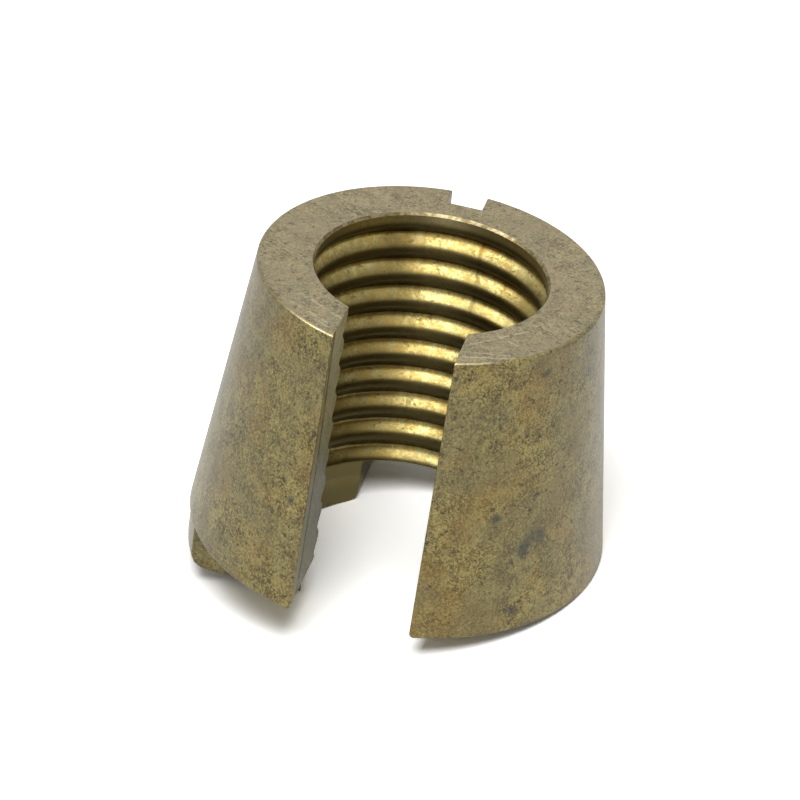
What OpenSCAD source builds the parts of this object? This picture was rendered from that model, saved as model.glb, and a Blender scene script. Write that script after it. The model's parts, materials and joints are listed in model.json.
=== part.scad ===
// Tapered split ferrule: a turned brass cone, bored and grooved inside with plain rings that
// grip, with one slot cut through its wall, a keyway opposite the slot and a drive foot left
// on its big end. It is drawn about its own axis, then set down as it rests on a table.

/* [Body] */
// Outer diameter at the small end
small_d = 21.8; // [21:0.1:24]
// Outer diameter at the big end
big_d = 26.6; // [25:0.1:30]
// Height from the big end face to the small end face
body_h = 18.6; // [18:0.1:24]
// Radius on the outer edge of the small end
small_edge_r = 0.3; // [0.1:0.05:0.6]
// Radius on the outer edge of the big end
big_edge_r = 0.2; // [0.1:0.05:0.8]

/* [Bore] */
// Diameter of the bore, across the crests of the rings
crest_d = 14.6; // [13.5:0.1:15]
// Diameter at the bottom of the grooves between the rings
root_d = 16.3; // [15.8:0.1:16.6]
// Distance from one groove to the next
ring_pitch = 2; // [1.9:0.05:2.2]
// Number of grooves
ring_count = 9; // [1:1:9]
// Distance from the small end face to the bottom of the first groove
ring_start = 1.75; // [1.5:0.05:2]
// Width of the flat at the bottom of a groove
root_w = 0.1; // [0.05:0.05:0.2]
// Radius on the crest of a ring
crest_edge_r = 0.5; // [0.2:0.05:0.5]
// Angle that this radius turns through on each side of the crest, before the straight flank
crest_turn = 40; // [20:1:42]
// Radius on the mouth of the bore at the small end
mouth_r = 0.15; // [0.1:0.05:0.3]

/* [Slot and keyway] */
// Width of the slot through the wall
slot_w = 7.6; // [6:0.1:9]
// Radius on the two corners of the slot at the big end
slot_corner_r = 0.4; // [0.2:0.1:0.8]
// Width of the keyway opposite the slot
key_w = 2.3; // [2:0.1:3]
// Distance from the axis to the floor of the keyway
key_floor = 9.1; // [8.7:0.1:9.8]

/* [Foot] */
// Outer diameter of the foot, a little under that of the rim above it
foot_d = 26.3; // [24:0.1:30]
// Length of the foot below the big end face
foot_h = 3.1; // [2:0.1:4]
// Distance from the axis forward to the driving face of the foot
foot_front = 5.7; // [4:0.1:6]
// Radius on the outer bottom edge of the foot
foot_edge_r = 1; // [0.4:0.1:1.5]
// Radius where the inner end of the foot turns under
foot_corner_r = 0.8; // [0.4:0.1:1.5]
// Radius in the corner between the inner end of the foot and the big end face
foot_fillet_r = 0.3; // [0.1:0.1:0.6]

/* [Hidden] */
$fn = 96;

small_r = small_d / 2;
big_r = big_d / 2;
foot_r = foot_d / 2;
crest_r = crest_d / 2;
root_r = root_d / 2;
spare = 1;

// Half angle of the taper, and how far each edge radius runs back along its end face
taper = atan((big_r - small_r) / body_h);
along = [-sin(taper), cos(taper)];
big_run = big_edge_r / tan((90 - taper) / 2);
small_run = small_edge_r / tan((90 + taper) / 2);

// Where the flank of a groove meets the crest radius, outward and along from the crest's middle
flank_start = crest_edge_r * [1 - cos(crest_turn), sin(crest_turn)];

// The foot's inner end lies in the plane of one wall of the slot
foot_end = -slot_w / 2;

// At rest the foot's rounded end and the rim of the big end touch the table.
// The lean is that of the line which touches both of those radii from below.
rest_run = big_r - big_run - (foot_end - foot_corner_r);
rest_rise = big_edge_r - (foot_corner_r - foot_h);
rest_lean = atan2(rest_rise, rest_run)
    + asin((foot_corner_r - big_edge_r) / norm([rest_run, rest_rise]));
rest_lift = (big_r - big_run) * sin(rest_lean) - big_edge_r * cos(rest_lean) + big_edge_r;

// Shifts that bring the footprint's middle to the origin
reach_right = (small_r - small_run) * cos(rest_lean)
    + (body_h - small_edge_r) * sin(rest_lean) + small_edge_r;
reach_left = (foot_r - foot_edge_r) * cos(rest_lean)
    + (foot_h - foot_edge_r) * sin(rest_lean) + foot_edge_r;
reach_back = big_r;
reach_front = sqrt(pow(big_r, 2) - pow(slot_w / 2, 2));

// Section of the turned cone: straight stretches first, then a circle for each rounded edge
module cone_section() {
    polygon([
        [0, 0],
        [big_r - big_run, 0],
        [big_r, 0] + big_run * along,
        [small_r, body_h] - small_run * along,
        [small_r - small_run, body_h],
        [0, body_h]
    ]);
    translate([big_r - big_run, big_edge_r]) circle(big_edge_r);
    translate([small_r - small_run, body_h - small_edge_r]) circle(small_edge_r);
}

// Section of the collar that the foot is milled from, rounded on its outer bottom edge
module collar_section() {
    polygon([
        [0, -foot_h],
        [foot_r - foot_edge_r, -foot_h],
        [foot_r, foot_edge_r - foot_h],
        [foot_r, big_edge_r],
        [0, big_edge_r]
    ]);
    translate([foot_r - foot_edge_r, foot_edge_r - foot_h]) circle(foot_edge_r);
}

// What is left of that collar: all that lies behind the driving face and outside the slot's plane
module foot_outline() {
    translate([-big_r - spare, foot_corner_r - foot_h])
        square([big_r + spare + foot_end, foot_h + spare]);
    translate([-big_r - spare, -foot_h])
        square([big_r + spare + foot_end - foot_corner_r, foot_h]);
    translate([foot_end - foot_corner_r, foot_corner_r - foot_h]) circle(foot_corner_r);
    difference() {
        translate([foot_end - foot_fillet_r, -foot_fillet_r])
            square([2 * foot_fillet_r, 2 * foot_fillet_r]);
        translate([foot_end + foot_fillet_r, -foot_fillet_r]) circle(foot_fillet_r);
    }
}

module foot() {
    intersection() {
        rotate_extrude() collar_section();
        translate([0, big_r + spare, 0]) rotate([90, 0, 0])
            linear_extrude(big_r + spare + foot_front) foot_outline();
    }
}

// Section of one groove, half a pitch to each side of its bottom
module groove_section() {
    difference() {
        polygon([
            [0, -ring_pitch / 2],
            [crest_r, -ring_pitch / 2],
            [crest_r, -ring_pitch / 2] + flank_start,
            [root_r, -root_w / 2],
            [root_r, root_w / 2],
            [crest_r + flank_start.x, ring_pitch / 2 - flank_start.y],
            [crest_r, ring_pitch / 2],
            [0, ring_pitch / 2]
        ]);
        for (side = [-1, 1])
            translate([crest_r + crest_edge_r, side * ring_pitch / 2]) circle(crest_edge_r);
    }
}

// Bore from end to end with its grooves, and with the rounded mouth at the small end
module bore_cut() {
    rotate_extrude() {
        translate([0, -foot_h - spare]) square([crest_r, foot_h + body_h + 2 * spare]);
        for (i = [0 : ring_count - 1])
            translate([0, body_h - ring_start - i * ring_pitch]) groove_section();
        difference() {
            translate([0, body_h - mouth_r]) square([crest_r + mouth_r, mouth_r + spare]);
            translate([crest_r + mouth_r, body_h - mouth_r]) circle(mouth_r);
        }
    }
}

// Slot from the front through the wall into the bore, and the rounding of its two corners at
// the big end, which reaches back as far as the driving face of the foot
module slot_cut() {
    translate([-slot_w / 2, -big_r - spare, -spare])
        cube([slot_w, big_r + spare, body_h + 2 * spare]);
    translate([0, -foot_front, 0]) rotate([90, 0, 0])
        linear_extrude(big_r + spare - foot_front)
        for (side = [-1, 1]) scale([side, 1]) difference() {
            translate([0, -spare]) square([slot_w / 2 + slot_corner_r, slot_corner_r + spare]);
            translate([slot_w / 2 + slot_corner_r, slot_corner_r]) circle(slot_corner_r);
        }
}

// Keyway along the back, parallel to the axis
module keyway_cut() {
    translate([-key_w / 2, key_floor, -spare])
        cube([key_w, big_r, body_h + 2 * spare]);
}

module ferrule() {
    color([0.53, 0.48, 0.33])
        translate([(reach_left - reach_right) / 2, (reach_front - reach_back) / 2, rest_lift])
        rotate([0, rest_lean, 0])
        difference() {
            union() {
                rotate_extrude() cone_section();
                foot();
            }
            bore_cut();
            slot_cut();
            keyway_cut();
        }
}

ferrule();
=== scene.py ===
import json
import math

import bmesh
import bpy
from mathutils import Matrix, Vector


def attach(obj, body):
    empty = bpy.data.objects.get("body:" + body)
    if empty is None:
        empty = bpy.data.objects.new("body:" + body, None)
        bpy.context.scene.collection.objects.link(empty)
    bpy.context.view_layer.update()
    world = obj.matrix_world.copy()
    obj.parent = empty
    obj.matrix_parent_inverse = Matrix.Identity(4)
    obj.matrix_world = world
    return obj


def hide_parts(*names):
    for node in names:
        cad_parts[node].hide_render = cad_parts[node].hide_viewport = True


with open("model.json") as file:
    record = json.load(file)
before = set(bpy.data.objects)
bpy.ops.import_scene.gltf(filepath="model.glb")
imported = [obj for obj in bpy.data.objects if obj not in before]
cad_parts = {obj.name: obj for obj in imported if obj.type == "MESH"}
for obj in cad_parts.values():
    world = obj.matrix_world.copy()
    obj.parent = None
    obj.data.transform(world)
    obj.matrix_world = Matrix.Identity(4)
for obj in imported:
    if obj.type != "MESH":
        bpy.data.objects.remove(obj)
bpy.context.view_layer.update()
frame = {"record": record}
mounts = {mount["name"]: mount for mount in frame["record"]["mounts"]}


# Ferrule, turning. The real piece starts as brass bar, turned to a cone with a collar left
# on its big end, and bored through. Sizes are in millimetres about the ferrule's own axis,
# with z = 0 at the face of the big end, and the slot towards -Y.
small_r = 10.9
big_r = 13.3
body_h = 18.6
foot_r = 13.15
foot_h = 3.1
pilot_r = 6.6
small_edge_r = 0.25
big_edge_r = 0.2
foot_edge_r = 1.0
edge_steps = 5
foot_edge_steps = 8
lathe_columns = 180
taper = math.atan((big_r - small_r) / body_h)
quarter = math.pi / 2


def arc(centre, radius, start, end, steps):
    """Points (r, z) along an arc, its angles in radians from the outward direction."""
    angles = [start + (end - start) * i / steps for i in range(steps + 1)]
    return [(centre[0] + radius * math.cos(a), centre[1] + radius * math.sin(a)) for a in angles]


def turned(profile):
    """A ring of the closed (r, z) profile, as a lathe would leave it."""
    ring = bmesh.new()
    loops = []
    for i in range(lathe_columns):
        a = 2 * math.pi * i / lathe_columns
        loops.append([ring.verts.new((r * math.cos(a), r * math.sin(a), z)) for r, z in profile])
    for i, loop in enumerate(loops):
        following = loops[(i + 1) % lathe_columns]
        for j in range(len(profile)):
            k = (j + 1) % len(profile)
            ring.faces.new((loop[j], following[j], following[k], loop[k]))
    bmesh.ops.recalc_face_normals(ring, faces=ring.faces)
    return ring


def as_object(name, form):
    """The finished form as an object of the scene."""
    mesh = bpy.data.meshes.new(name)
    form.to_mesh(mesh)
    form.free()
    made = bpy.data.objects.new(name, mesh)
    bpy.context.scene.collection.objects.link(made)
    return made


# The middle of each edge radius, and where the rim's own starts, above the foot
foot_edge_middle = (foot_r - foot_edge_r, foot_edge_r - foot_h)
rim_middle = (big_r - big_edge_r / math.tan((quarter - taper) / 2), big_edge_r)
rim_start = -math.acos((foot_r - rim_middle[0]) / big_edge_r)
small_edge_middle = (small_r - small_edge_r / math.tan((quarter + taper) / 2), body_h - small_edge_r)
blank_profile = [(pilot_r, -foot_h)]
blank_profile += arc(foot_edge_middle, foot_edge_r, -quarter, 0, foot_edge_steps)
blank_profile += arc(rim_middle, big_edge_r, rim_start, taper, edge_steps)
blank_profile += arc(small_edge_middle, small_edge_r, taper, quarter, edge_steps)
blank_profile += [(pilot_r, body_h)]
ferrule = as_object("ferrule_turned", turned(blank_profile))

# Ferrule, milling. An end mill takes the collar away up to the big end's face, all but the
# foot that drives the ferrule. Then the slot and the keyway are cut, and the slot's two
# corners at the big end are rounded off. Each cutter reaches well beyond the brass.
foot_front = 5.7
foot_corner_r = 0.8
foot_corner_steps = 6
foot_fillet_r = 0.3
slot_w = 7.6
slot_corner_r = 0.4
key_w = 2.3
key_floor = 9.1
beyond = 4.0


def extruded(outline, start, end):
    """A bar of the closed (x, z) outline, from y = start to y = end."""
    bar = bmesh.new()
    near = [bar.verts.new((x, start, z)) for x, z in outline]
    far = [bar.verts.new((x, end, z)) for x, z in outline]
    bar.faces.new(near)
    bar.faces.new(far)
    for i in range(len(outline)):
        j = (i + 1) % len(outline)
        bar.faces.new((near[i], near[j], far[j], far[i]))
    bmesh.ops.recalc_face_normals(bar, faces=bar.faces)
    return bar


def upright(width):
    """The (x, z) outline of an upright bar, in the middle and taller than the ferrule."""
    low, high = -foot_h - beyond, body_h + beyond
    return [(-width / 2, low), (width / 2, low), (width / 2, high), (-width / 2, high)]


def run_on(points):
    """The points, with a straight run on from their last one."""
    last, before = Vector(points[-1]), Vector(points[-2])
    return points + [tuple(last + (last - before).normalized() * beyond)]


def plain_mesh(obj):
    """Turns the object's evaluated shape into its own mesh, and takes its modifiers off."""
    evaluated = obj.evaluated_get(bpy.context.evaluated_depsgraph_get())
    obj.data = bpy.data.meshes.new_from_object(evaluated)
    obj.modifiers.clear()


def cut(obj, cutter):
    """Takes the cutter's volume out of obj, and removes the cutter."""
    boolean = obj.modifiers.new("cut", "BOOLEAN")
    boolean.operation = "DIFFERENCE"
    boolean.solver = "MANIFOLD"
    boolean.object = cutter
    plain_mesh(obj)
    bpy.data.objects.remove(cutter)


# The arcs of the cutters stop a little short of the flats that they lead into, so that no
# cutter's face lies in a face of the brass
shy = math.radians(6)
mill_inner_r = pilot_r - 1
mill_outer_r = big_r + beyond
mill_low = -foot_h - beyond
mill_ring = [(mill_inner_r, mill_low), (mill_outer_r, mill_low), (mill_outer_r, 0), (mill_inner_r, 0)]
mill = as_object("mill", turned(mill_ring))
well_out = big_r + 2 * beyond
foot_end = -slot_w / 2
corner = run_on(arc((foot_end - foot_corner_r, foot_corner_r - foot_h), foot_corner_r,
                    0, 2 * shy - quarter, foot_corner_steps))[::-1]
fillet = arc((foot_end + foot_fillet_r, -foot_fillet_r), foot_fillet_r, math.pi, quarter + shy, edge_steps)
left_alone = [(-well_out, corner[0][1])] + corner + fillet
left_alone += [(foot_end + foot_fillet_r, 2 * beyond), (-well_out, 2 * beyond)]
cut(mill, as_object("foot_left", extruded(left_alone, -foot_front, well_out)))
cut(ferrule, mill)
cut(ferrule, as_object("slot_saw", extruded(upright(slot_w), -big_r - beyond, -pilot_r / 2)))
for side in (-1, 1):
    rounding = arc((slot_w / 2 + slot_corner_r, slot_corner_r), slot_corner_r,
                   shy - math.pi, -quarter - shy, edge_steps)
    rounding = [(0, slot_corner_r)] + run_on(rounding) + [(0, -beyond)]
    cut(ferrule, as_object("corner_cutter", extruded(
        [(side * x, z) for x, z in rounding], -big_r - beyond, -foot_front)))
cut(ferrule, as_object("key_cutter", extruded(upright(key_w), key_floor, big_r + beyond)))

# Ferrule, edges. The milled edges are broken by hand with a fine file, and catch the light.
# First, splinters that the cuts left are welded shut, and the pieces of each flat are joined up.
# The pilot bore's own edges are left sharp, because the ring tool takes them away.
file_w = 0.1
splinter_w = 0.004
flat_within = math.radians(0.4)
sharp_from = math.radians(40)
bore_margin = 0.1
edges = bmesh.new()
edges.from_mesh(ferrule.data)
bmesh.ops.remove_doubles(edges, verts=edges.verts, dist=splinter_w)
bmesh.ops.dissolve_limit(edges, angle_limit=flat_within, verts=edges.verts, edges=edges.edges)
sharp = [e for e in edges.edges if e.is_manifold and e.calc_face_angle_signed() > sharp_from
         and min(v.co.xy.length for v in e.verts) > pilot_r + bore_margin]
bmesh.ops.bevel(edges, geom=sharp, offset=file_w, segments=2, profile=0.5, affect="EDGES",
                offset_type="OFFSET", clamp_overlap=False)
edges.to_mesh(ferrule.data)
edges.free()

# Ferrule, ring grooves. A grooving tool cuts nine plain rings in the bore, which leave rounded
# crests that grip a tube. The tree makes all that the boring and grooving tools take out as
# one solid: its rows of points keep their height, and take their radius from the profile.
crest_r = 7.3
root_r = 8.15
ring_pitch = 2.0
ring_count = 9
ring_start = 1.75
crest_edge_r = 0.5
crest_turn = math.radians(45)
root_rounding = 0.22
mouth_r = 0.15
spare_pitches = 2
rows_each = 24
tool_columns = 220


def node(tree, kind, inputs, **settings):
    """A new node. Its inputs, by name or number, take a value or a link from another node."""
    made = tree.nodes.new(kind)
    for name, value in settings.items():
        setattr(made, name, value)
    for name, value in inputs.items():
        if isinstance(value, bpy.types.NodeSocket):
            tree.links.new(value, made.inputs[name])
        else:
            made.inputs[name].default_value = value
    return made


def reckon(tree, operation, *values):
    """The result of one Math node."""
    return node(tree, "ShaderNodeMath", dict(enumerate(values)), operation=operation).outputs[0]


def parts_of(tree, vector):
    """The X, Y and Z of a vector."""
    return node(tree, "ShaderNodeSeparateXYZ", {0: vector}).outputs


def ring_tool_tree():
    """The tree that turns a plain bar into the solid that the bore's tools take out."""
    tree = bpy.data.node_groups.new("ring_grooves", "GeometryNodeTree")
    for name in ("Crest Radius", "Root Radius", "Pitch", "First Root", "Crest Edge Radius", "Flank Start",
                 "Flank Slope", "Root Rounding", "Mouth Radius", "Mouth Height", "Length", "Middle"):
        tree.interface.new_socket(name, in_out="INPUT", socket_type="NodeSocketFloat")
    for name in ("Grooves", "Columns", "Rows"):
        tree.interface.new_socket(name, in_out="INPUT", socket_type="NodeSocketInt")
    tree.interface.new_socket("Brass", in_out="INPUT", socket_type="NodeSocketMaterial")
    tree.interface.new_socket("Tool", in_out="OUTPUT", socket_type="NodeSocketGeometry")
    given = node(tree, "NodeGroupInput", {}).outputs

    bar = node(tree, "GeometryNodeMeshCylinder", {
        "Vertices": given["Columns"], "Side Segments": given["Rows"],
        "Radius": 1.0, "Depth": given["Length"]})
    point = parts_of(tree, node(tree, "GeometryNodeInputPosition", {}).outputs[0])
    height = reckon(tree, "ADD", point["Z"], given["Middle"])

    # The nearest groove's number, held within the count, so that the wall beyond them stays plain.
    # The distance from its root is eased near zero, as the tool's nose is round.
    below = reckon(tree, "SUBTRACT", given["First Root"], height)
    nearest = reckon(tree, "ROUND", reckon(tree, "DIVIDE", below, given["Pitch"]))
    last = reckon(tree, "SUBTRACT", given["Grooves"], 1.0)
    number = reckon(tree, "MINIMUM", reckon(tree, "MAXIMUM", nearest, 0.0), last)
    off_root = reckon(tree, "SUBTRACT", below, reckon(tree, "MULTIPLY", number, given["Pitch"]))
    off_squared = reckon(tree, "POWER", off_root, 2.0)
    nose_squared = reckon(tree, "POWER", given["Root Rounding"], 2.0)
    from_root = reckon(tree, "SQRT", reckon(tree, "ADD", off_squared, nose_squared))
    half_pitch = reckon(tree, "MULTIPLY", given["Pitch"], 0.5)
    from_crest = reckon(tree, "MAXIMUM", reckon(tree, "SUBTRACT", half_pitch, from_root), 0.0)

    # Out from the crest: first round the crest's own radius, then straight down the flank
    on_edge = reckon(tree, "MINIMUM", from_crest, given["Flank Start"])
    edge_r = given["Crest Edge Radius"]
    edge_squared = reckon(tree, "POWER", edge_r, 2.0)
    rise_squared = reckon(tree, "SUBTRACT", edge_squared, reckon(tree, "POWER", on_edge, 2.0))
    round_part = reckon(tree, "SUBTRACT", edge_r, reckon(tree, "SQRT", rise_squared))
    on_flank = reckon(tree, "SUBTRACT", from_crest, on_edge)
    depth = reckon(tree, "MULTIPLY_ADD", on_flank, given["Flank Slope"], round_part)
    groove = reckon(tree, "MINIMUM", reckon(tree, "ADD", depth, given["Crest Radius"]), given["Root Radius"])

    # The mouth at the small end is eased outwards
    mouth_start = reckon(tree, "SUBTRACT", given["Mouth Height"], given["Mouth Radius"])
    above = reckon(tree, "MAXIMUM", reckon(tree, "SUBTRACT", height, mouth_start), 0.0)
    radius = reckon(tree, "ADD", groove, above)

    place = node(tree, "ShaderNodeCombineXYZ", {
        "X": reckon(tree, "MULTIPLY", point["X"], radius),
        "Y": reckon(tree, "MULTIPLY", point["Y"], radius), "Z": height})
    shaped = node(tree, "GeometryNodeSetPosition", {
        "Geometry": bar.outputs["Mesh"], "Position": place.outputs[0]})
    real = node(tree, "GeometryNodeRealizeInstances", {0: shaped.outputs[0]})
    finished = node(tree, "GeometryNodeSetMaterial", {
        "Geometry": real.outputs[0], "Material": given["Brass"]})
    node(tree, "NodeGroupOutput", {0: finished.outputs[0]})
    return tree


ring_brass = bpy.data.materials.new("ring_brass")
ring_tool = as_object("ring_tool", bmesh.new())
grooving = ring_tool.modifiers.new("grooving", "NODES")
grooving.node_group = ring_tool_tree()
first_root = body_h - ring_start
flank_start = crest_edge_r * math.sin(crest_turn)
flank_depth = root_r - crest_r - crest_edge_r * (1 - math.cos(crest_turn))
tool_pitches = ring_count + 2 * spare_pitches
tool_length = tool_pitches * ring_pitch
sizes = {
    "Crest Radius": crest_r, "Root Radius": root_r, "Pitch": ring_pitch, "First Root": first_root,
    "Crest Edge Radius": crest_edge_r, "Flank Start": flank_start,
    "Flank Slope": flank_depth / (ring_pitch / 2 - flank_start),
    "Root Rounding": root_rounding, "Mouth Radius": mouth_r, "Mouth Height": body_h,
    "Length": tool_length, "Middle": first_root + spare_pitches * ring_pitch - tool_length / 2,
    "Grooves": ring_count, "Columns": tool_columns, "Rows": tool_pitches * rows_each, "Brass": ring_brass}
for item in grooving.node_group.interface.items_tree:
    if item.in_out == "INPUT":
        grooving[item.identifier] = sizes[item.name]
plain_mesh(ring_tool)
cut(ferrule, ring_tool)

# Ferrule, placing. It rests on its foot and on the rim of its big end, so its axis leans. The
# middle of the bore and the way the bore points say where it goes.
in_metres = 0.001
axis = Vector(mounts["bore"]["axis"])
across = Vector((0, 1, 0)).cross(axis)
lean = Matrix((across, (0, 1, 0), axis)).transposed()
big_end = Vector(mounts["bore"]["pos_m"]) - lean @ Vector((0, 0, body_h / 2 * in_metres))


# Ferrule, finish. The brass has aged: each surface has its own tone, from how it was cut and
# handled. Patterns are laid out in millimetres about the ferrule's axis.
def own_place(tree):
    """Where a point is on the ferrule, in millimetres about its axis."""
    spot = node(tree, "ShaderNodeTexCoord", {}).outputs["Object"]
    return node(tree, "ShaderNodeMapping", {
        "Vector": spot, "Location": big_end, "Rotation": lean.to_euler(), "Scale": [in_metres] * 3},
        vector_type="TEXTURE").outputs[0]


def ramp(tree, value, low, high, start=0.0, end=1.0):
    """Goes smoothly from start to end as the value goes from low to high."""
    return node(tree, "ShaderNodeMapRange", {
        "Value": value, "From Min": low, "From Max": high, "To Min": start, "To Max": end},
        interpolation_type="SMOOTHSTEP").outputs[0]


def clouds(tree, place, per_mm, low, high, detail=3.0, grain=0.5, stretch=(1, 1, 1), shift=0.0):
    """Noise with so many lumps to the millimetre, from 0 below low to 1 above high."""
    laid = node(tree, "ShaderNodeMapping", {
        "Vector": place, "Location": [shift] * 3, "Scale": [per_mm * s for s in stretch]}).outputs[0]
    noise = node(tree, "ShaderNodeTexNoise", {
        "Vector": laid, "Scale": 1.0, "Detail": detail, "Roughness": grain})
    return ramp(tree, noise.outputs["Fac"], low, high)


def blend(tree, amount, under, over):
    """The colour over laid on the colour under."""
    mixed = node(tree, "ShaderNodeMix", {0: amount}, data_type="RGBA")
    for number, colour in ((6, under), (7, over)):
        if isinstance(colour, bpy.types.NodeSocket):
            tree.links.new(colour, mixed.inputs[number])
        else:
            mixed.inputs[number].default_value = (*colour, 1)
    return mixed.outputs[2]


def product(tree, *values):
    """All the values multiplied together."""
    total = values[0]
    for value in values[1:]:
        total = reckon(tree, "MULTIPLY", total, value)
    return total


def weighted(tree, *parts):
    """The sum of the values, each times its share."""
    total = 0.0
    for value, share in parts:
        total = reckon(tree, "MULTIPLY_ADD", value, share, total)
    return total


def lit(colour, times):
    """The colour with so many times its light."""
    return [times * part for part in colour]


def spot_at(tree, place, centre, radius, ragged=0.8):
    """1 inside a ragged spot on the surface, 0 outside it."""
    away = node(tree, "ShaderNodeVectorMath", {0: place, 1: centre}, operation="DISTANCE").outputs["Value"]
    rough_edge = clouds(tree, place, 1.6, 0.2, 0.8, shift=90)
    reach = reckon(tree, "MULTIPLY_ADD", rough_edge, ragged * radius, away)
    return ramp(tree, reach, radius * 0.5, radius * 1.6, 1.0, 0.0)


class Aged:
    """The aged tone that every surface shares: fine speckle, soft mottling, greyer patches and pits."""

    def __init__(self, material, light, dark, brown, grey):
        material.use_nodes = True
        self.tree = tree = material.node_tree
        self.shader = tree.nodes["Principled BSDF"]
        self.place = place = own_place(tree)

        # How light the brass is, mostly by its fine speckle
        self.speckle = clouds(tree, place, 6.0, 0.28, 0.72, detail=4.0, grain=0.9)
        blotches = clouds(tree, place, 2.6, 0.25, 0.75, detail=4.0, shift=50)
        mottle = clouds(tree, place, 0.8, 0.3, 0.7, shift=20)
        mixed = weighted(tree, (self.speckle, 0.66), (blotches, 0.16), (mottle, 0.18))
        self.tone = ramp(tree, mixed, 0.2, 0.8)
        self.colour = blend(tree, self.tone, dark, light)

        # Brown tarnish, greyer patches, bright flecks and dark pits over it
        tinge = clouds(tree, place, 3.4, 0.45, 0.7, shift=80)
        warm = clouds(tree, place, 0.28, 0.45, 0.65, detail=2.0, shift=170)
        self.lay(weighted(tree, (tinge, 0.4), (warm, 0.35)), brown)
        patches = clouds(tree, place, 0.3, 0.38, 0.62, shift=7)
        self.lay(product(tree, patches, 0.4), grey)
        flecks = clouds(tree, place, 7.0, 0.6, 0.72, detail=2.0, shift=140)
        self.lay(product(tree, flecks, 0.5), lit(light, 1.35))
        self.pits = clouds(tree, place, 2.6, 0.64, 0.71, detail=1.0, shift=40)
        self.lay(product(tree, self.pits, 0.6), lit(dark, 0.35))

    def lay(self, amount, colour):
        """Lays one more colour over the tone."""
        self.colour = blend(self.tree, amount, self.colour, colour)

    def finish(self, roughness, marks, mark_depth, stretch=(1, 1, 1), coat=0.6):
        """Gives the shader its colour, roughness and the marks that the cutter left."""
        tree = self.tree
        tree.links.new(self.colour, self.shader.inputs["Base Color"])
        self.shader.inputs["Metallic"].default_value = 1.0
        self.shader.inputs["Coat Weight"].default_value = coat
        self.shader.inputs["Coat Roughness"].default_value = 0.3
        swing = 0.06
        rough = ramp(tree, self.tone, 0.0, 1.0, roughness + swing, roughness - swing)
        tree.links.new(rough, self.shader.inputs["Roughness"])
        cutter = clouds(tree, self.place, marks, 0.2, 0.8, stretch=stretch, shift=60)
        height = reckon(tree, "SUBTRACT", reckon(tree, "MULTIPLY_ADD", self.speckle, 0.5, cutter), self.pits)
        bump = node(tree, "ShaderNodeBump", {
            "Height": height, "Distance": mark_depth * in_metres, "Strength": 1.0})
        tree.links.new(bump.outputs[0], self.shader.inputs["Normal"])


# Outside: turned to the taper, with faint rings from the lathe tool and a few dark stains, each
# with its middle and radius. The foot, below the big end's face, is a little darker.
turned_brass = bpy.data.materials.new("turned_brass")
outside = Aged(turned_brass, light=(0.405, 0.338, 0.11), dark=(0.045, 0.026, 0.0),
               brown=(0.26, 0.15, 0.027), grey=(0.157, 0.143, 0.07))
tree, place = outside.tree, outside.place
lathe_rings = (0.12, 0.12, 2.5)
stain_grey = (0.045, 0.046, 0.038)
foot_brown = (0.09, 0.07, 0.02)
outside_stains = (
    ((9.5, -8.2, 5.6), 0.95), ((10.2, -7.3, 6.1), 0.7), ((9.5, -9.1, 1.4), 0.5),
    ((7.7, -9.6, 8.0), 0.4), ((9.0, -6.5, 17.2), 0.4), ((-4.9, -11.4, 7.1), 0.4))
stain_share = ramp(tree, outside.tone, 0.0, 1.0, 0.95, 0.7)
for centre, radius in outside_stains:
    outside.lay(product(tree, spot_at(tree, place, centre, radius), stain_share), stain_grey)
outside.lay(ramp(tree, parts_of(tree, place)["Z"], -0.3, 0.0, 0.2, 0.0), foot_brown)
outside.finish(0.5, 2.0, 0.006, lathe_rings, coat=1.0)

# Ends: faced off flat, greyer, and scratched beside the slot on the small end. Each scratch
# has its two ends, its width and how far it shows.
faced_brass = bpy.data.materials.new("faced_brass")
ends = Aged(faced_brass, light=(0.40, 0.33, 0.16), dark=(0.10, 0.082, 0.035),
            brown=(0.285, 0.21, 0.10), grey=(0.23, 0.20, 0.11))
fresh_brass = (0.55, 0.49, 0.34)
scratches = (
    ((-7.4, -7.2), (-4.3, -8.9), 0.16, 0.4), ((-7.0, -6.0), (-3.6, -8.1), 0.16, 0.4),
    ((-5.5, -8.6), (-4.2, -9.4), 0.07, 0.6), ((3.9, -9.3), (7.4, -8.0), 0.07, 0.7),
    ((4.1, -7.7), (7.5, -4.2), 0.07, 0.7), ((5.4, -5.8), (7.1, -6.6), 0.09, 0.7),
    ((3.9, -8.6), (6.8, -7.9), 0.06, 0.7))


def scratch(tree, place, start, end, width):
    """1 along a broken, wavering line from start to end on the small end's face."""
    fade = 0.3
    wander = 0.12
    run = Vector(end) - Vector(start)
    along = parts_of(tree, node(tree, "ShaderNodeMapping", {
        "Vector": place, "Location": (*start, 0), "Rotation": (0, 0, math.atan2(run.y, run.x))},
        vector_type="TEXTURE").outputs[0])
    wave = reckon(tree, "MULTIPLY_ADD", clouds(tree, place, 1.2, 0.0, 1.0, shift=15), wander, -wander / 2)
    off = reckon(tree, "ABSOLUTE", reckon(tree, "ADD", along["Y"], wave))
    line = ramp(tree, off, width * 0.4, width, 1.0, 0.0)
    begun = ramp(tree, along["X"], 0.0, fade)
    unended = ramp(tree, along["X"], run.length - fade, run.length, 1.0, 0.0)
    broken = clouds(tree, place, 2.5, 0.35, 0.55, shift=33)
    on_small_end = ramp(tree, along["Z"], 0.0, body_h)
    return product(tree, line, begun, unended, broken, on_small_end)


for start, end, width, strength in scratches:
    ends.lay(product(ends.tree, scratch(ends.tree, ends.place, start, end, width), strength), fresh_brass)
ends.finish(0.5, 2.5, 0.004)

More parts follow.
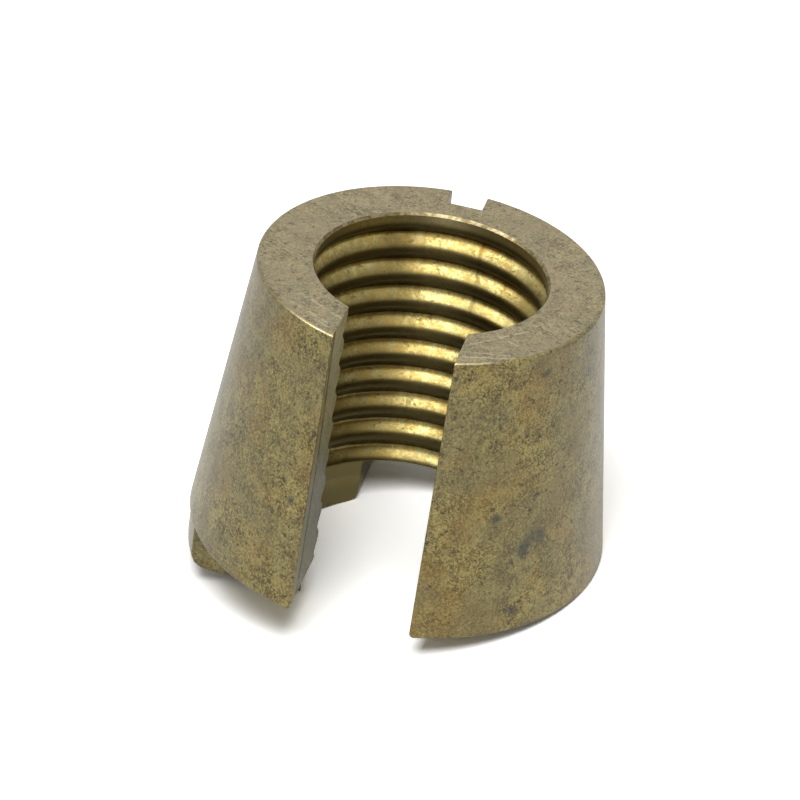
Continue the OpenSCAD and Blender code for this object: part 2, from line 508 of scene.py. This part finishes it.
# Slot and keyway: milled, greyer than the rest, and browner low down. On the slot's wall towards
# -X the outer strip was burred over in milling: it is yellower, and a broken dark cleft parts it
# from the rest of the wall, and runs deeper in low down.
milled_brass = bpy.data.materials.new("milled_brass")
walls = Aged(milled_brass, light=(0.52, 0.50, 0.34), dark=(0.23, 0.215, 0.14),
             brown=(0.35, 0.31, 0.20), grey=(0.40, 0.39, 0.30))
tree, place = walls.tree, walls.place
mill_marks = (1, 1, 0.2)
low_brown = (0.115, 0.095, 0.042)
burr_yellow = (0.33, 0.28, 0.12)
cleft_black = (0.03, 0.026, 0.014)
spot = parts_of(tree, place)
walls.lay(ramp(tree, spot["Z"], 3.0, 13.0, 0.5, 0.0), low_brown)
flat_place = node(tree, "ShaderNodeCombineXYZ", {"X": spot["X"], "Y": spot["Y"]}).outputs[0]
outward = node(tree, "ShaderNodeVectorMath", {0: flat_place}, operation="LENGTH").outputs["Value"]
depth = reckon(tree, "SUBTRACT", big_r, reckon(
    tree, "MULTIPLY_ADD", spot["Z"], (big_r - small_r) / body_h, outward))
cleft_depth = ramp(tree, spot["Z"], 9.0, 18.0, 1.4, 0.5)
past = reckon(tree, "SUBTRACT", depth, cleft_depth)
burred = ramp(tree, spot["X"], -1.5, -1.4, 1.0, 0.0)
walls.lay(product(tree, burred, ramp(tree, past, -0.2, 0.0, 0.5, 0.0)), burr_yellow)
broken = clouds(tree, place, 1.4, 0.3, 0.45, stretch=(1, 1, 0.5), shift=130)
cleft = ramp(tree, reckon(tree, "ABSOLUTE", past), 0.1, 0.32, 1.0, 0.0)
walls.lay(product(tree, burred, cleft, broken, 0.85), cleft_black)
walls.finish(0.6, 2.5, 0.008, mill_marks, coat=0.3)

# Filed edges: at both sides of the slot, the upper part of the edge is painted bright, partly brass rubbed
# by handling and partly a painted highlight. Elsewhere they have aged as the outside has.
filed_brass = bpy.data.materials.new("filed_brass")
filed = Aged(filed_brass, light=(0.40, 0.32, 0.105), dark=(0.04, 0.032, 0.01),
             brown=(0.23, 0.155, 0.055), grey=(0.175, 0.152, 0.085))
tree, place = filed.tree, filed.place
rubbed_brass_and_highlight = (0.48, 0.42, 0.26)
# Rubbed brass and painted highlight: a bright band along the upper part of the edge beside the slot
rubbed_and_highlit = reckon(tree, "MAXIMUM", spot_at(tree, place, (-5.6, -9.3, body_h), 1.9, ragged=0.2),
                spot_at(tree, place, (5.0, -9.7, body_h), 1.5, ragged=0.2))
worn = clouds(tree, place, 3.0, 0.2, 0.5, shift=25)
highlit_top = ramp(tree, parts_of(tree, place)["Z"], body_h - 0.13, body_h - 0.06)
filed.lay(product(tree, rubbed_and_highlit, worn, highlit_top, 0.6), rubbed_brass_and_highlight)
filed.finish(0.4, 2.5, 0.004)

# Bore: painted shade over the grooves, bright just below the root of each one, darker towards the crest and
# dark under it. One side has a painted brown shadow of the slot's wall; there are dark brown patches and
# runs of tarnish down the wall. The land at the mouth has a painted highlight along its upper edge, and the
# mouth's own edge is knocked.
bore = Aged(ring_brass, light=(0.53, 0.47, 0.205), dark=(0.27, 0.22, 0.07),
            brown=(0.38, 0.25, 0.065), grey=(0.46, 0.405, 0.18))
tree, place = bore.tree, bore.place
wall_shadow_brown = (0.15, 0.105, 0.03)
heat_orange = (0.42, 0.22, 0.03)
streak_brown = (0.33, 0.22, 0.055)
dark_patch_brown = (0.085, 0.05, 0.013)
run_brown = (0.13, 0.08, 0.02)
painted_groove_shade = (0.085, 0.066, 0.024)
foot_bore = (0.24, 0.20, 0.085)
lip_highlight_brass = (0.33, 0.27, 0.135)
mouth_dark = (0.12, 0.095, 0.045)
mouth_knocked = (0.24, 0.195, 0.11)
spot = parts_of(tree, place)
level = spot["Z"]
waver = clouds(tree, place, 1.0, 0.0, 1.0, shift=70)

# Painted shadow: the slot's wall towards -X keeps the lamp off a band of the far wall, painted browner here,
# but not furthest out, where light falls in from above
painted_wall_shadow = ramp(tree, reckon(tree, "MULTIPLY_ADD", waver, 0.5, spot["X"]), -2.3, -1.8, 1.0, 0.0)
shadow_far_end = ramp(tree, spot["X"], -5.4, -4.4)
bore.lay(product(tree, painted_wall_shadow, shadow_far_end, 0.42), wall_shadow_brown)
bore.lay(product(tree, spot_at(tree, place, (1.9, 7.5, 16.9), 0.9), 0.6), heat_orange)
streaks = clouds(tree, place, 2.4, 0.42, 0.62, stretch=(1, 1, 0.15), shift=110)
bore.lay(product(tree, streaks, 0.6), streak_brown)
# Darker brown patches high up on the wall towards -X
bore_dark_patches = (
    ((-3.5, 6.9, 16.0), 1.3, 0.6), ((-3.5, 6.9, 13.8), 1.2, 0.5), ((-2.9, 7.2, 11.8), 1.2, 0.4))
for centre, radius, strength in bore_dark_patches:
    bore.lay(product(tree, spot_at(tree, place, centre, radius, ragged=0.7), strength), dark_patch_brown)

# Each run's place across the bore, half its width, how low it reaches and how far it shows
runs = ((1.95, 0.22, 11.5, 0.6), (-1.75, 0.3, 9.0, 0.35), (-0.6, 0.15, 13.0, 0.3), (3.9, 0.3, 13.5, 0.35))
drift = reckon(tree, "MULTIPLY_ADD", clouds(tree, place, 1.5, 0.2, 0.8, shift=210), 0.4, spot["X"])
for run_x, half_width, lowest, strength in runs:
    off_run = reckon(tree, "ABSOLUTE", reckon(tree, "SUBTRACT", drift, run_x))
    run = ramp(tree, off_run, half_width * 0.3, half_width, 1.0, 0.0)
    bore.lay(product(tree, run, ramp(tree, level, lowest - 1, lowest + 1), strength), run_brown)

# How many pitches a point lies below the first root, and how far it is on to the next one
pitches_down = reckon(tree, "DIVIDE", reckon(tree, "SUBTRACT", first_root, level), ring_pitch)
part_way = reckon(tree, "FRACT", reckon(
    tree, "MULTIPLY_ADD", waver, 0.08, reckon(tree, "ADD", pitches_down, 0.02)))
# Painted shade: from a little below each root, round the crest and under it, where the flank faces down, the
# wall is painted dark, and so is the plain land at the mouth
plain_land = ramp(tree, pitches_down, -0.46, -0.42, 1.0, 0.0)
groove_shade = reckon(tree, "MAXIMUM", ramp(tree, part_way, 0.14, 0.52), plain_land)
bore.lay(product(tree, groove_shade, 0.95), painted_groove_shade)
bore.lay(product(tree, ramp(tree, level, 0.0, 0.05, 1.0, 0.0), 0.85), foot_bore)
# Painted highlight: the plain land is painted lighter along its upper edge
lip_highlight = ramp(tree, level, body_h - 0.9, body_h - 0.5)
bore.lay(product(tree, lip_highlight, ramp(tree, bore.tone, 0.2, 0.8, 0.7, 1.0)), lip_highlight_brass)
knocks = clouds(tree, place, 2.5, 0.4, 0.6, detail=4.0, shift=190)
bore.lay(ramp(tree, level, body_h - 0.2, body_h - 0.14), blend(tree, knocks, mouth_dark, mouth_knocked))
bore.finish(0.4, 2.0, 0.004, lathe_rings, coat=0.0)

# Ferrule, joining up. Each face takes the finish of the surface that it belongs to, and the
# mesh is smoothed over all but its real edges and set down on the table. Slivers that the ring
# tool left are welded shut first.
surfaces = (turned_brass, faced_brass, milled_brass, filed_brass, ring_brass)
near = 0.02
level_within = 0.01
upright_within = 0.1
crease_from = math.radians(32)
sliver_w = 0.005
ferrule.data.materials.clear()
for surface in surfaces:
    ferrule.data.materials.append(surface)


def surface_of(face):
    """Which of the surfaces a face belongs to, from where it is and which way it looks."""
    spot = face.calc_center_median()
    normal = face.normal
    if abs(normal.z) > 1 - level_within and (abs(spot.z) < near or abs(spot.z - body_h) < near):
        return faced_brass
    on_slot = abs(abs(spot.x) - slot_w / 2) < near and spot.y < 0 and spot.z > 0
    if on_slot and abs(normal.x) > 1 - level_within:
        return milled_brass
    if spot.y > key_floor - near and abs(spot.x) < key_w / 2 + near and abs(normal.z) < upright_within:
        return milled_brass
    if max(v.co.xy.length for v in face.verts) < root_r + near and spot.z > -foot_h + near:
        return ring_brass
    if abs(normal.z - math.sin(taper)) < level_within or spot.z < 0:
        return turned_brass
    return filed_brass


final = bmesh.new()
final.from_mesh(ferrule.data)
bmesh.ops.remove_doubles(final, verts=final.verts, dist=sliver_w)
for face in final.faces:
    face.smooth = True
    face.material_index = surfaces.index(surface_of(face))
for edge in final.edges:
    if edge.is_manifold:
        edge.smooth = edge.calc_face_angle() < crease_from
final.to_mesh(ferrule.data)
final.free()
weighted_normals = ferrule.modifiers.new("weighted_normals", "WEIGHTED_NORMAL")
weighted_normals.keep_sharp = True
weighted_normals.weight = 100
plain_mesh(ferrule)
ferrule.data.transform(Matrix.Translation(big_end) @ lean.to_4x4() @ Matrix.Scale(in_metres, 4))
ferrule.name = "ferrule_body"
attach(ferrule, "root")
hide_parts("ferrule")

# Table. It is white paper that keeps the ferrule's soft shadow. The camera sees it whiter than
# it lights the brass, and further out it blends into the white backdrop.
paper_lit = (0.9, 0.9, 0.89)
paper_seen = (1.65, 1.65, 1.64)
paper_half = 1.5
blend_from = 0.08
blend_to = 0.2
table = bmesh.new()
bmesh.ops.create_grid(table, x_segments=1, y_segments=1, size=paper_half)
floor = as_object("floor", table)
paper = bpy.data.materials.new("white_paper")
paper.use_nodes = True
tree = paper.node_tree
shader = tree.nodes["Principled BSDF"]
shader.inputs["Roughness"].default_value = 0.9
shader.inputs["Specular IOR Level"].default_value = 0.0
shader.inputs["Emission Color"].default_value = (1, 1, 1, 1)
seen = node(tree, "ShaderNodeLightPath", {}).outputs["Is Camera Ray"]
tree.links.new(blend(tree, seen, paper_lit, paper_seen), shader.inputs["Base Color"])
spread = node(tree, "ShaderNodeTexCoord", {}).outputs["Object"]
away = node(tree, "ShaderNodeVectorMath", {0: spread}, operation="LENGTH").outputs["Value"]
into_backdrop = product(tree, seen, ramp(tree, away, blend_from, blend_to))
tree.links.new(into_backdrop, shader.inputs["Emission Strength"])
floor.data.materials.append(paper)

# Light. The backdrop is white to the camera and in the brass, and lights softly all round. One
# large softbox hangs overhead, and a small lamp only puts the glint on the ring grooves.
fill_strength = 0.25
world = bpy.data.worlds.new("studio")
bpy.context.scene.world = world
world.use_nodes = True
tree = world.node_tree
backdrop = tree.nodes["Background"]
backdrop.inputs["Color"].default_value = (1, 1, 1, 1)
path = node(tree, "ShaderNodeLightPath", {}).outputs
shown = reckon(tree, "MAXIMUM", path["Is Camera Ray"], path["Is Glossy Ray"])
tree.links.new(ramp(tree, shown, 0.0, 1.0, fill_strength, 1.0), backdrop.inputs["Strength"])


def softbox(name, place, size, power):
    """A square lamp that faces the middle of the table."""
    lamp = bpy.data.lights.new(name, "AREA")
    lamp.shape = "SQUARE"
    lamp.size = size
    lamp.energy = power
    made = bpy.data.objects.new(name, lamp)
    made.location = place
    made.rotation_euler = Vector(place).to_track_quat("Z", "Y").to_euler()
    bpy.context.scene.collection.objects.link(made)
    return made


softbox("overhead", place=(0.045, -0.22, 0.445), size=0.3, power=2.15)
glint = softbox("glint", place=(-0.25, -0.14, 0.40), size=0.08, power=0.7)
glint.visible_diffuse = False

# Camera. A long lens looks down into the slot from 34 cm away, and a little from the right, so
# that one wall of the slot and the far side of the bore show.
lens = bpy.data.cameras.new("camera")
lens.sensor_width = 36
lens.lens = 243.2
lens.clip_start = 0.01
camera = bpy.data.objects.new("camera", lens)
camera.location = (0.077644, -0.288276, 0.176514)
camera.rotation_euler = [math.radians(a) for a in (60.9654, 2.859, 13.4292)]
bpy.context.scene.collection.objects.link(camera)
bpy.context.scene.camera = camera
bpy.context.scene.view_settings.view_transform = "Standard"
